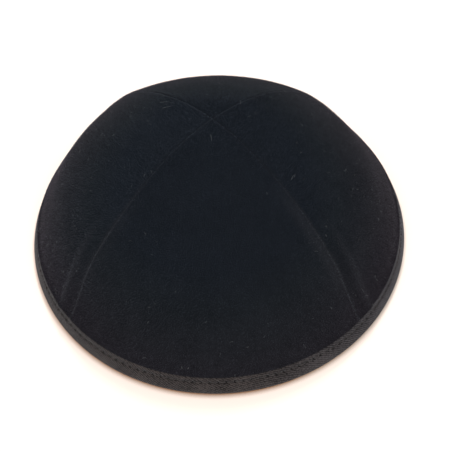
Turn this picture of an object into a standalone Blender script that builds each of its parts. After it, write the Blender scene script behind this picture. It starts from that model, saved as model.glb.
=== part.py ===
"""A velvet kippah: four gores joined on four seams, with a woven tape folded over the rim.

Lengths are in metres. The origin is the centre of the rim on the surface the cap rests on, +Z is up,
and the seams leave the crown at 45 degrees to X and Y, so the front gore faces -Y.
"""

import math

import bmesh
import bpy
import numpy as np
from mathutils import Vector

# Whole cap
RIM_RADIUS = 0.080        # outside of the folded tape
CROWN_HEIGHT = 0.0542     # the plain form at the crossing of the seams, above the surface

# Cloth
WALL = 0.0020             # velvet with the cloth behind it
PRESSED_WALL = 0.0010     # the same wall where the tape clamps it
TAPE_WALL = 0.0010
TAPE_WIDTH = 0.0078       # height of the tape up the wall, fold included
TAPE_PROUD = 0.0003       # how far the tape stands out of the velvet
HEM_LEAN = math.radians(58)   # slope of the wall under the tape, from the horizontal
REST_FLAT = 0.0003        # how far the fold is flattened where it rests
TUCK = 0.0020             # length over which the velvet dips behind the tape's edge
FIT_GAP = 0.0003          # between the tape and the gores

# Seams
SEAM_GAP = 0.0003         # between neighbouring gores
SEAM_EASE = 0.010         # how far into a gore its edges are eased back to leave that gap
SEAM_DIP = 0.0006         # depth of the valley along a seam
SEAM_ROLL = 0.0010        # width of the rolled edge on each side of a seam
ALLOWANCE = 0.0068        # turned edge of a seam, which shows through as a low ridge
RIDGE_HEIGHT = 0.0004
RIDGE_HALF_WIDTH = 0.0022

# Fineness of the faceted cloth
CURVE_STEPS = 24          # between two rows of SECTIONS, along the curve that they guide
CROWN_ROWS = 17
FIELD_COLUMNS = 5         # from a ridge to the middle of a gore
RIM_FACETS = 84
FOLD_FACETS = 8
SHARP_EDGE = math.radians(40)
SAME_POINT = 0.000001

# From the crown to the tape's edge. reach: distance of the seam from the axis, as a share of the
# distance at the tape's edge. rise: height above the tape's edge, as a share of the crown's.
# flatness: 0 where the level section is round, 1 where the gores run straight between the seams.
SECTIONS = [
    {"reach": 0.00, "rise": 1.000, "flatness": 0.85},
    {"reach": 0.16, "rise": 0.979, "flatness": 0.78},
    {"reach": 0.31, "rise": 0.915, "flatness": 0.68},
    {"reach": 0.47, "rise": 0.808, "flatness": 0.51},
    {"reach": 0.63, "rise": 0.653, "flatness": 0.31},
    {"reach": 0.79, "rise": 0.446, "flatness": 0.16},
    {"reach": 0.90, "rise": 0.216, "flatness": 0.06},
    {"reach": 1.00, "rise": 0.000, "flatness": 0.00},
]

# azimuth, sway and lead are in degrees: where a seam leaves the crown, how far it bows to one side
# half way down, and how far it has wandered at the rim. pull: how far it stands out half way down,
# as a share of its reach.
SEAMS = {
    "back_right": {"azimuth": 45, "sway": 0.7, "lead": 0.3, "pull": -0.011},
    "back_left": {"azimuth": 135, "sway": -0.9, "lead": 0.0, "pull": 0.029},
    "front_left": {"azimuth": 225, "sway": 0.7, "lead": 0.5, "pull": 0.015},
    "front_right": {"azimuth": 315, "sway": -0.5, "lead": -1.8, "pull": 0.012},
}

# flatter: added to the flatness half way down. ridges: this gore covers its seams' turned edges.
GORES = {
    "panel_back": {"seams": ("back_right", "back_left"), "flatter": -0.02, "ridges": False},
    "panel_left": {"seams": ("back_left", "front_left"), "flatter": -0.14, "ridges": True},
    "panel_front": {"seams": ("front_left", "front_right"), "flatter": 0.00, "ridges": False},
    "panel_right": {"seams": ("front_right", "back_right"), "flatter": -0.10, "ridges": True},
}

# The fold of the tape wraps half of the pressed wall, a gap and its own wall on each side. Below, a
# 2D point is its distance from the cap's axis and its height.
FOLD_RADIUS = PRESSED_WALL / 2 + FIT_GAP + TAPE_WALL
FOLD_CENTRE = Vector((RIM_RADIUS - FOLD_RADIUS, FOLD_RADIUS - REST_FLAT))
HEM_OUT = Vector((math.sin(HEM_LEAN), math.cos(HEM_LEAN)))
HEM_UP = Vector((-math.cos(HEM_LEAN), math.sin(HEM_LEAN)))
TAPE_LEG = TAPE_WIDTH - FOLD_RADIUS
HEM_FOOT = FOLD_CENTRE + HEM_OUT * (FOLD_RADIUS - TAPE_PROUD)
HEM_TOP = HEM_FOOT + HEM_UP * TAPE_LEG
PRESSED_DEPTH = FOLD_RADIUS - TAPE_PROUD - PRESSED_WALL / 2


def clear_scene():
    for old in list(bpy.data.objects):
        bpy.data.objects.remove(old, do_unlink=True)


def cloth_material(name, colour, roughness):
    material = bpy.data.materials.new(name)
    material.use_nodes = True
    shader = material.node_tree.nodes["Principled BSDF"]
    shader.inputs["Base Color"].default_value = (*colour, 1.0)
    shader.inputs["Roughness"].default_value = roughness
    shader.inputs["Metallic"].default_value = 0.0
    return material


def through(points, steps):
    """A Catmull-Rom curve through the points, from the second to the last but one."""
    points = np.array(points, float)
    curve = []
    for before, start, end, after in zip(points, points[1:], points[2:], points[3:]):
        for step in range(steps):
            t = step / steps
            curve.append(
                0.5 * (2 * start + (end - before) * t
                       + (2 * before - 5 * start + 4 * end - after) * t ** 2
                       + (3 * start - before - 3 * end + after) * t ** 3)
            )
    curve.append(points[-2])
    return np.array(curve)


def seam_meridian():
    """The velvet's plain outside down a seam: length, reach, height, flatness, and its normal."""
    rows = []
    for row in SECTIONS:
        height = HEM_TOP.y + row["rise"] * (CROWN_HEIGHT - HEM_TOP.y)
        rows.append((row["reach"] * HEM_TOP.x, height, row["flatness"]))
    across_crown = (-rows[1][0], rows[1][1], rows[1][2])
    down_hem = HEM_TOP - HEM_UP * (rows[-2][1] - rows[-1][1]) / HEM_UP.y
    curve = through([across_crown, *rows, (down_hem.x, down_hem.y, 0.0)], CURVE_STEPS)
    curve = np.vstack([curve, (HEM_FOOT.x, HEM_FOOT.y, 0.0)])
    step = np.hypot(np.diff(curve[:, 0]), np.diff(curve[:, 1]))
    length = np.concatenate([[0.0], np.cumsum(step)])
    outwards = np.gradient(curve[:, 0], length)
    upwards = np.gradient(curve[:, 1], length)
    upwards[0] = 0.0
    slope = np.hypot(outwards, upwards)
    return {
        "length": length,
        "reach": curve[:, 0],
        "height": curve[:, 1],
        "flatness": curve[:, 2],
        "normal_out": -upwards / slope,
        "normal_up": outwards / slope,
    }


def on_meridian(meridian, length):
    return {key: float(np.interp(length, meridian["length"], meridian[key])) for key in meridian}


def share_of_reach(row):
    """0 at the crown, and 1 from the tape's edge to the rim."""
    return min(1.0, row["reach"] / HEM_TOP.x)


def swell(row):
    """0 at the crown and at the tape's edge, and 1 half way between them."""
    share = share_of_reach(row)
    return 4 * share * (1 - share)


def seam_azimuth(seam, row):
    return math.radians(seam["azimuth"] + seam["sway"] * swell(row) + seam["lead"] * share_of_reach(row))


def gore_edges(gore, row):
    """The azimuths of a gore's two seams at one level, the second one past the first."""
    start, end = (seam_azimuth(SEAMS[name], row) for name in gore["seams"])
    return start, (end + 2 * math.pi if end < start else end)


def gore_point(gore, row, across, depth):
    """A point of a gore at one level: across is 0 at its first seam and 1 at its second."""
    start, end = gore_edges(gore, row)
    azimuth = start + (end - start) * across
    pulls = [SEAMS[name]["pull"] for name in gore["seams"]]
    pull = pulls[0] + (pulls[1] - pulls[0]) * across
    straight = math.cos((end - start) / 2) / math.cos(azimuth - (start + end) / 2)
    flatness = row["flatness"] + gore["flatter"] * swell(row)
    reach = row["reach"] * (1 + pull * swell(row)) * (1 + flatness * (straight - 1))
    reach = max(0.0, reach - depth * row["normal_out"])
    height = row["height"] - depth * row["normal_up"]
    point = Vector((reach * math.cos(azimuth), reach * math.sin(azimuth), height))
    for seam, side in ((start, 1), (end, -1)):
        inward = Vector((-math.sin(seam), math.cos(seam), 0.0)) * side
        near = max(0.0, 1 - point.dot(inward) / SEAM_EASE)
        point = point + inward * (SEAM_GAP / 2) * near
    return point


def outer_depth(gore, row, from_seam, above_tape):
    """How deep the velvet lies below the plain form: at its seams, its ridges and its tucked hem."""
    valley = SEAM_DIP * max(0.0, 1 - from_seam / SEAM_ROLL)
    ridge = RIDGE_HEIGHT * max(0.0, 1 - abs(from_seam - ALLOWANCE) / RIDGE_HALF_WIDTH)
    if gore["ridges"]:
        valley -= ridge * share_of_reach(row) ** 2
    tucked = min(1.0, max(0.0, 1 - (above_tape - FIT_GAP) / TUCK))
    return valley * (1 - tucked) + PRESSED_DEPTH * tucked


def rows_down(meridian):
    """Lengths down the seam at which a gore has a row of points."""
    foot = meridian["length"][-1]
    tape_edge = foot - TAPE_LEG
    free = tape_edge - FIT_GAP - TUCK
    crown = [free * step / CROWN_ROWS for step in range(CROWN_ROWS + 1)]
    return [*crown, tape_edge - FIT_GAP, foot - TAPE_LEG / 2, foot]


def columns_across(half_width):
    """Shares of a gore's width, closer together beside its seams and even where it is narrow."""
    marks = [0.0, SEAM_ROLL, ALLOWANCE - RIDGE_HALF_WIDTH, ALLOWANCE, ALLOWANCE + RIDGE_HALF_WIDTH]
    count = len(marks) + FIELD_COLUMNS - 1
    near = [min(mark / half_width, index / count) for index, mark in enumerate(marks)]
    field = [near[-1] + (1 - near[-1]) * (index + 1) / FIELD_COLUMNS for index in range(FIELD_COLUMNS)]
    half = [share / 2 for share in near + field]
    return half + [1 - share for share in reversed(half[:-1])]


def flat_slab(columns, rows):
    """A slab on whole numbers: x is the column, y the row, and z is 0 outside and 1 inside."""
    slab = bmesh.new()
    bmesh.ops.create_grid(slab, x_segments=columns - 1, y_segments=rows - 1, size=0.5)
    bmesh.ops.translate(slab, verts=slab.verts, vec=(0.5, 0.5, 0))
    bmesh.ops.scale(slab, verts=slab.verts, vec=(columns - 1, rows - 1, 1))
    bmesh.ops.solidify(slab, geom=slab.faces[:], thickness=1.0)
    for vertex in slab.verts:
        vertex.co.z = round(abs(vertex.co.z))
    return slab


def make_gore(name, gore, meridian, material, collection):
    lengths = rows_down(meridian)
    foot = meridian["length"][-1]
    slab = flat_slab(len(columns_across(RIM_RADIUS)), len(lengths))
    for vertex in slab.verts:
        column, level, inside = (round(value) for value in vertex.co)
        row = on_meridian(meridian, lengths[level])
        width = (gore_point(gore, row, 1.0, 0.0) - gore_point(gore, row, 0.0, 0.0)).length
        across = columns_across(max(width / 2, SEAM_ROLL))[column]
        above_tape = foot - TAPE_LEG - lengths[level]
        depth = outer_depth(gore, row, min(across, 1 - across) * width, above_tape)
        if inside:
            pressed = above_tape <= FIT_GAP + SAME_POINT
            depth = PRESSED_DEPTH + PRESSED_WALL if pressed else WALL
        vertex.co = gore_point(gore, row, across, depth)
    bmesh.ops.remove_doubles(slab, verts=slab.verts, dist=SAME_POINT)
    bmesh.ops.recalc_face_normals(slab, faces=slab.faces)
    mesh = bpy.data.meshes.new(name)
    slab.to_mesh(mesh)
    slab.free()
    mesh.shade_smooth()
    mesh.set_sharp_from_angle(angle=SHARP_EDGE)
    mesh.materials.append(material)
    collection.objects.link(bpy.data.objects.new(name, mesh))


def arc(centre, radius, start, end, steps):
    angles = (start + (end - start) * step / steps for step in range(steps + 1))
    return [centre + Vector((math.cos(angle), math.sin(angle))) * radius for angle in angles]


def tape_outline():
    """The folded tape cut across: down its outside, round the fold and up, then back along its inside."""
    leg = HEM_UP * TAPE_LEG
    blunt = TAPE_WALL / 4
    start = math.pi / 2 - HEM_LEAN
    outside = arc(FOLD_CENTRE, FOLD_RADIUS, start, start - math.pi, FOLD_FACETS)
    outside = [Vector((point.x, max(point.y, 0.0))) for point in outside]
    within = arc(FOLD_CENTRE, FOLD_RADIUS - TAPE_WALL, start - math.pi, start, FOLD_FACETS // 2)
    return [
        outside[0] + leg - HEM_UP * blunt,
        *outside,
        outside[-1] + leg - HEM_UP * blunt,
        outside[-1] + leg + HEM_OUT * blunt,
        within[0] + leg - HEM_OUT * blunt,
        within[0] + leg - HEM_UP * blunt,
        *within,
        within[-1] + leg - HEM_UP * blunt,
        within[-1] + leg + HEM_OUT * blunt,
        outside[0] + leg - HEM_OUT * blunt,
    ]


def make_tape(material, collection):
    outline = tape_outline()
    count = len(outline)
    mesh = bpy.data.meshes.new("rim_tape")
    mesh.from_pydata(
        [(point.x, 0.0, point.y) for point in outline],
        [(index, (index + 1) % count) for index in range(count)],
        [],
    )
    mesh.materials.append(material)
    tape = bpy.data.objects.new("rim_tape", mesh)
    collection.objects.link(tape)
    turn = tape.modifiers.new("turn", "SCREW")
    turn.axis = "Z"
    turn.angle = 2 * math.pi
    turn.steps = RIM_FACETS
    turn.render_steps = RIM_FACETS
    turn.use_merge_vertices = True
    turn.merge_threshold = SAME_POINT
    turn.use_smooth_shade = True


def main():
    clear_scene()
    collection = bpy.data.collections.new("velvet_kippah")
    bpy.context.scene.collection.children.link(collection)
    velvet = cloth_material("velvet", (0.010, 0.011, 0.015), 0.95)
    woven_tape = cloth_material("woven_tape", (0.022, 0.020, 0.021), 0.75)
    meridian = seam_meridian()
    for name, gore in GORES.items():
        make_gore(name, gore, meridian, velvet, collection)
    make_tape(woven_tape, collection)


main()
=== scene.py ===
import math

import bmesh
import bpy
import numpy as np
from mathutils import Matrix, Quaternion, Vector, noise


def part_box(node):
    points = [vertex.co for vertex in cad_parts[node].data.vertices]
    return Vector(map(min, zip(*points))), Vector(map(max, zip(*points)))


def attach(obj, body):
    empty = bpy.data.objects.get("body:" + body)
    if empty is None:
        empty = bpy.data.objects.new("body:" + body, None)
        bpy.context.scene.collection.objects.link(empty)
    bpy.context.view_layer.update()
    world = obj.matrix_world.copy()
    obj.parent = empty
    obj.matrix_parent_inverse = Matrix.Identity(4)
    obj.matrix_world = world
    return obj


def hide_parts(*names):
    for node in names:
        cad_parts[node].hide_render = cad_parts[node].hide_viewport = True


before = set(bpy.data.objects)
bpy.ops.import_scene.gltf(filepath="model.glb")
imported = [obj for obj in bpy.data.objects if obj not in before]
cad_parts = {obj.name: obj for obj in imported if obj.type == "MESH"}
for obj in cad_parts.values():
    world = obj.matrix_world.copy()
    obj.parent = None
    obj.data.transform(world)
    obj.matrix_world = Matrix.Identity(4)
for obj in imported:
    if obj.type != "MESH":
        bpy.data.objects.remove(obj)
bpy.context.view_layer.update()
print("frame loaded:", ", ".join(sorted(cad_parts)))

# The form of the cap in metres and degrees, the same as the solids have, so that the cloth lies on them.
# sections run from the crown to the tape's edge: reach and rise are shares, flatness is 0 on a round
# level section and 1 where the gores run straight from seam to seam.
cap = {
    "rimRadius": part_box("rim_tape")[1].x,
    "crownHeight": 0.0542,
    "wall": 0.0020,
    "pressedWall": 0.0010,
    "tapeWall": 0.0010,
    "tapeWidth": 0.0078,
    "tapeProud": 0.0003,
    "fitGap": 0.0003,
    "restFlat": 0.0003,
    "hemLean": math.radians(58),
    "sections": [
        {"reach": 0.00, "rise": 1.000, "flatness": 0.85},
        {"reach": 0.16, "rise": 0.979, "flatness": 0.78},
        {"reach": 0.31, "rise": 0.915, "flatness": 0.68},
        {"reach": 0.47, "rise": 0.808, "flatness": 0.51},
        {"reach": 0.63, "rise": 0.653, "flatness": 0.31},
        {"reach": 0.79, "rise": 0.446, "flatness": 0.16},
        {"reach": 0.90, "rise": 0.216, "flatness": 0.06},
        {"reach": 1.00, "rise": 0.000, "flatness": 0.00},
    ],
    "seams": {
        "backRight": {"azimuth": 45, "sway": 0.7, "lead": 0.3, "pull": -0.011},
        "backLeft": {"azimuth": 135, "sway": -0.9, "lead": 0.0, "pull": 0.029},
        "frontLeft": {"azimuth": 225, "sway": 0.7, "lead": 0.5, "pull": 0.015},
        "frontRight": {"azimuth": 315, "sway": -0.5, "lead": -1.8, "pull": 0.012},
    },
}

# A 2D point below is a distance from the cap's axis and a height.
foldRadius = cap["pressedWall"] / 2 + cap["fitGap"] + cap["tapeWall"]
foldCentre = Vector((cap["rimRadius"] - foldRadius, foldRadius - cap["restFlat"]))
hemOut = Vector((math.sin(cap["hemLean"]), math.cos(cap["hemLean"])))
hemUp = Vector((-math.cos(cap["hemLean"]), math.sin(cap["hemLean"])))
tapeLeg = cap["tapeWidth"] - foldRadius
hemFoot = foldCentre + hemOut * (foldRadius - cap["tapeProud"])
hemTop = hemFoot + hemUp * tapeLeg
pressedDepth = foldRadius - cap["tapeProud"] - cap["pressedWall"] / 2


def curveThrough(points, steps):
    # Catmull-Rom, from the second point to the last but one
    points = np.array(points, float)
    curve = []
    for before, start, end, after in zip(points, points[1:], points[2:], points[3:]):
        t = np.arange(steps)[:, None] / steps
        curve.append(
            0.5 * (2 * start + (end - before) * t
                   + (2 * before - 5 * start + 4 * end - after) * t ** 2
                   + (3 * start - before - 3 * end + after) * t ** 3)
        )
    return np.vstack([*curve, points[-2]])


def makeMeridian():
    rows = []
    for row in cap["sections"]:
        height = hemTop.y + row["rise"] * (cap["crownHeight"] - hemTop.y)
        rows.append((row["reach"] * hemTop.x, height, row["flatness"]))
    acrossCrown = (-rows[1][0], rows[1][1], rows[1][2])
    downHem = hemTop - hemUp * (rows[-2][1] - rows[-1][1]) / hemUp.y
    curve = curveThrough([acrossCrown, *rows, (downHem.x, downHem.y, 0.0)], 60)
    curve = np.vstack([curve, (hemFoot.x, hemFoot.y, 0.0)])
    length = np.concatenate([[0.0], np.cumsum(np.hypot(np.diff(curve[:, 0]), np.diff(curve[:, 1])))])
    outwards = np.gradient(curve[:, 0], length)
    upwards = np.gradient(curve[:, 1], length)
    upwards[0] = 0.0
    slope = np.hypot(outwards, upwards)
    return {
        "length": length,
        "reach": curve[:, 0],
        "height": curve[:, 1],
        "flatness": curve[:, 2],
        "normalOut": -upwards / slope,
        "normalUp": outwards / slope,
    }


meridian = makeMeridian()
meridianFoot = meridian["length"][-1]
tapeEdge = meridianFoot - tapeLeg


def onMeridian(length):
    row = {key: np.interp(length, meridian["length"], meridian[key]) for key in meridian}
    row["share"] = np.minimum(1.0, row["reach"] / hemTop.x)
    row["swell"] = 4 * row["share"] * (1 - row["share"])
    return row


def smooth(value, low, high):
    t = np.clip((value - low) / (high - low), 0.0, 1.0)
    return t * t * (3 - 2 * t)


def bump(value, centre, width):
    return np.exp(-((value - centre) / width) ** 2)


def seamAzimuth(seam, row):
    return np.radians(seam["azimuth"] + seam["sway"] * row["swell"] + seam["lead"] * row["share"])


def gorePoint(gore, row, across, depth):
    first, second = (cap["seams"][name] for name in gore["seams"])
    start = seamAzimuth(first, row)
    end = seamAzimuth(second, row)
    end = np.where(end < start, end + 2 * math.pi, end)
    azimuth = start + (end - start) * across
    pull = first["pull"] + (second["pull"] - first["pull"]) * across
    straight = np.cos((end - start) / 2) / np.cos(azimuth - (start + end) / 2)
    flatness = row["flatness"] + gore["flatter"] * row["swell"]
    reach = row["reach"] * (1 + pull * row["swell"]) * (1 + flatness * (straight - 1))
    reach = np.maximum(0.0, reach - depth * row["normalOut"])
    height = row["height"] - depth * row["normalUp"]
    point = np.stack([reach * np.cos(azimuth), reach * np.sin(azimuth), height], axis=-1)
    for seam, side in ((start, 1), (end, -1)):
        inward = np.stack([-np.sin(seam), np.cos(seam), 0 * seam], axis=-1) * side
        near = np.maximum(0.0, 1 - (point * inward).sum(axis=-1) / velvet["seamEase"])
        point = point + inward * (velvet["seamGap"] / 2 * near)[..., None]
    return point


def addNode(tree, kind, settings=None, inputs=None):
    # inputs: a value, or the output socket of another node
    node = tree.nodes.new(kind)
    for name, value in (settings or {}).items():
        setattr(node, name, value)
    for name, value in (inputs or {}).items():
        socket = node.inputs[name]
        if isinstance(value, bpy.types.NodeSocket):
            tree.links.new(value, socket)
        else:
            socket.default_value = value
    return node


def newMaterial(name, shine):
    material = bpy.data.materials.new(name)
    material.use_nodes = True
    tree = material.node_tree
    shader = tree.nodes["Principled BSDF"]
    for socket, value in shine.items():
        shader.inputs[socket].default_value = value
    return material, tree, shader


def fieldNoise(tree, vector, scale, detail=3.0, roughness=0.55):
    inputs = {"Vector": vector, "Scale": scale, "Detail": detail, "Roughness": roughness}
    return addNode(tree, "ShaderNodeTexNoise", inputs=inputs).outputs["Fac"]


def mixTones(tree, share, dark, light):
    ramp = addNode(tree, "ShaderNodeValToRGB", inputs={"Fac": share})
    ramp.color_ramp.elements[0].position = 0.3
    ramp.color_ramp.elements[0].color = (*dark, 1.0)
    ramp.color_ramp.elements[1].position = 0.7
    ramp.color_ramp.elements[1].color = (*light, 1.0)
    return ramp.outputs["Color"]


# The next few are used in materials and in Geometry Nodes trees.
def calculate(tree, operation, first, second=0.0, third=0.5):
    inputs = {0: first, 1: second, 2: third}
    return addNode(tree, "ShaderNodeMath", {"operation": operation}, inputs).outputs[0]


def combine(tree, x=0.0, y=0.0, z=0.0):
    return addNode(tree, "ShaderNodeCombineXYZ", inputs={"X": x, "Y": y, "Z": z}).outputs[0]


def scaleVector(tree, vector, scale):
    inputs = {"Vector": vector, "Scale": scale}
    return addNode(tree, "ShaderNodeVectorMath", {"operation": "SCALE"}, inputs).outputs[0]


def mapRange(tree, value, low, high, toLow=0.0, toHigh=1.0):
    inputs = {"Value": value, "From Min": low, "From Max": high, "To Min": toLow, "To Max": toHigh}
    return addNode(tree, "ShaderNodeMapRange", inputs=inputs).outputs["Result"]


def mixSockets(tree, kind, share, first, second):
    # a Mix node has one set of sockets for each kind of value
    inputs, output = {"VECTOR": ((0, 4, 5), 1), "RGBA": ((0, 6, 7), 2)}[kind]
    node = addNode(tree, "ShaderNodeMix", {"data_type": kind}, dict(zip(inputs, (share, first, second))))
    return node.outputs[output]


def pointValue(tree, name):
    return addNode(tree, "ShaderNodeAttribute", {"attribute_name": name}).outputs["Fac"]


def setBump(tree, shader, height, distance, strength=1.0):
    inputs = {"Height": height, "Distance": distance, "Strength": strength}
    node = addNode(tree, "ShaderNodeBump", inputs=inputs)
    tree.links.new(node.outputs["Normal"], shader.inputs["Normal"])


def addObject(name, data):
    thing = bpy.data.objects.new(name, data)
    bpy.context.scene.collection.objects.link(thing)
    return thing


def setPointValues(mesh, name, values):
    # read again by pointValue in a material, or by name in a Geometry Nodes tree
    attribute = mesh.attributes.new(name, "FLOAT", "POINT")
    attribute.data.foreach_set("value", np.array(values, np.float32))


def gridMesh(name, columns, rows, thickness=0.0):
    # a flat sheet or slab, with the column, the row and, in a slab, the side of each of its points
    grid = bmesh.new()
    bmesh.ops.create_grid(grid, x_segments=columns, y_segments=rows, size=0.5)
    if thickness:
        sheets = 2 * len(grid.faces)
        bmesh.ops.solidify(grid, geom=grid.faces[:], thickness=thickness)
        # its side faces come in another order each run, and fibres scattered on them would move
        grid.verts.index_update()
        grid.faces.index_update()
        sides = sorted(grid.faces[:][sheets:], key=lambda face: [vert.index for vert in face.verts])
        for index, face in enumerate(sides, sheets):
            face.index = index
        grid.faces.sort()
    mesh = bpy.data.meshes.new(name)
    grid.to_mesh(mesh)
    grid.free()
    flat = np.zeros(len(mesh.vertices) * 3)
    mesh.vertices.foreach_get("co", flat)
    flat = flat.reshape(-1, 3)
    column = np.rint((flat[:, 0] + 0.5) * columns).astype(int)
    row = np.rint((flat[:, 1] + 0.5) * rows).astype(int)
    return mesh, column, row, np.abs(flat[:, 2]) > thickness / 2


def shapeMesh(mesh, points, cloth):
    # bends the sheet into shape. Its UV map is the flat cloth at real size
    mesh.vertices.foreach_set("co", points.astype(np.float32).ravel())
    layer = mesh.uv_layers.new(name="cloth")
    corner = np.zeros(len(mesh.loops), int)
    mesh.loops.foreach_get("vertex_index", corner)
    layer.data.foreach_set("uv", cloth[corner].astype(np.float32).ravel())


def closeMesh(mesh):
    # joins the points that meet and turns all faces outwards
    closed = bmesh.new()
    closed.from_mesh(mesh)
    bmesh.ops.remove_doubles(closed, verts=closed.verts, dist=0.000001)
    bmesh.ops.recalc_face_normals(closed, faces=closed.faces)
    closed.to_mesh(mesh)
    closed.free()
    mesh.shade_smooth()


# Velvet gores
velvet = {
    "rows": 150,
    "turnRows": 24,          # of these, the rows where the velvet turns in behind the tape
    "turnAbove": 0.0012,     # how far these rows reach above and below the tape's edge
    "turnBelow": 0.0008,
    "columns": 120,
    "crowding": 1.6,         # how strongly the columns crowd towards the seams
    "seamGap": 0.00003,
    "seamEase": 0.010,
    "seamDip": 0.00032,
    "seamWidth": 0.00042,
    "highlightWidth": 0.00060,     # painted highlight where opened pile catches the light, along the seams, on the ridges and on the lips
    "highlightAtCrown": 0.12,
    "highlightTowardsRim": 0.34,
    "highlightGrows": (0.30, 0.75),   # as shares of the way out to the rim
    "highlightOnRidge": 0.28,
    "highlightOnLip": 0.32,
    "highlightPatches": (1.2, 0.4),  # how much of it follows the pile's grain, and how much is even
    "allowance": 0.0066,     # turned edge of a seam, seen through the side gores
    "ridgeRise": 0.00036,
    "ridgeWidth": 0.0014,
    "ridgeFrom": (0.60, 0.84),  # where the ridges start, again as shares of that way
    "lipAt": 0.0022,         # rolled cloth on one side of a seam
    "lipWidth": 0.0020,
    "lipRise": 0.00023,
    "lipFrom": (0.40, 0.60),
    "lipTo": (0.80, 0.95),
    "valleyPaintedShade": 0.20,     # painted shade: darker cloth in the hollow between a seam and the ridge of its turned edge
    "valleyAt": 0.45,        # in shares of the allowance
    "valleyWidth": 0.32,
    "puffRise": 0.00060,     # velvet swelling over the tape's edge
    "puffWidth": 0.0014,
    "tuck": 0.0004,
    "calmAbove": 0.004,      # waves and puckers fade out this close to the tape
    "pileDensity": 6.5e6,    # tufts on a square metre
    "pileLength": 0.00050,
    "pileThickness": 0.00007,
    "pileLean": 0.45,
    "pileSizes": (0.6, 1.1),
    "pileLightness": 6.2,    # its dye against the cloth's, because tufts shade one another
    "waveRise": 0.00030,     # slack of the cloth
    "waveSize": 0.030,
    "creaseRise": 0.00010,
    "creaseSize": 0.010,
    "puckerRise": 0.00012,   # gathers above the tape
    "puckerCount": 61,
    "puckerReach": 0.0060,
    "puckerDrift": 6.0,      # how far the waves shift the puckers sideways
    "brushScale": (700.0, 120.0, 1.0),  # pile stroked down the gore
    "brushShare": 0.30,
    "crushScale": 90.0,
    "crushShare": 0.40,
    "tuftScale": 620.0,
    "tuftShare": 0.6,
    "fibreScale": 2300.0,
    "fibreShare": 1.1,
    "grainShift": -1.20,     # brings the mean of the grain to 0
    "grainRange": (0.7, 1.4),  # grain at the bluest spot and at the rim; its growth outward is partly painted sheen speckle
    "grainFrom": 0.4,        # share of the painted sheen reach from which it grows
    "reliefDepth": 0.00028,
    "reliefStrength": 0.8,
    "reliefOfTufts": 0.2,
    # painted sheen: the dye grows lighter and warmer away from this spot on the front, as the sheen does
    # towards the sides and rim
    "bluest": (0.0, -0.022, 0.050),
    "paintedSheenFade": 0.080,           # how far from there the painted sheen is at its lightest
    "tones": {               # dye with painted sheen, lighter and warmer by distance from the bluest spot, as a share of that reach
        0.42: (0.0067, 0.0084, 0.0112),
        0.58: (0.0075, 0.0090, 0.0111),
        0.76: (0.0091, 0.0096, 0.0117),
        0.90: (0.0104, 0.0098, 0.0121),
        1.00: (0.0117, 0.0104, 0.0127),
    },
    "paintedHighlightTone": (0.0182, 0.0188, 0.0220),
    "sheen": 0.062,
    "sheenRoughness": 0.22,
    "sheenTint": (0.92, 0.97, 1.0, 1.0),
}

# paintedLightness is painted light: how light a gore is coloured for the light on its side. lint is how
# much lies on it. The pairs are for its first and second seam. flatter is added to the flatness of its
# sections.
gores = {
    "velvetBack": {
        "node": "panel_back", "seams": ("backRight", "backLeft"), "flatter": -0.02,
        "ridges": (0.0, 0.0), "lips": (0.0, 0.0), "paintedLightness": 0.93, "lint": 0.9,
    },
    "velvetLeft": {
        "node": "panel_left", "seams": ("backLeft", "frontLeft"), "flatter": -0.14,
        "ridges": (0.4, 1.0), "lips": (0.0, 0.0), "paintedLightness": 1.09, "lint": 1.6,
    },
    "velvetFront": {
        "node": "panel_front", "seams": ("frontLeft", "frontRight"), "flatter": 0.00,
        "ridges": (0.0, 0.0), "lips": (0.4, 1.0), "paintedLightness": 1.00, "lint": 0.45,
    },
    "velvetRight": {
        "node": "panel_right", "seams": ("frontRight", "backRight"), "flatter": -0.10,
        "ridges": (0.9, 0.4), "lips": (0.0, 0.0), "paintedLightness": 0.96, "lint": 1.4,
    },
}


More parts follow.
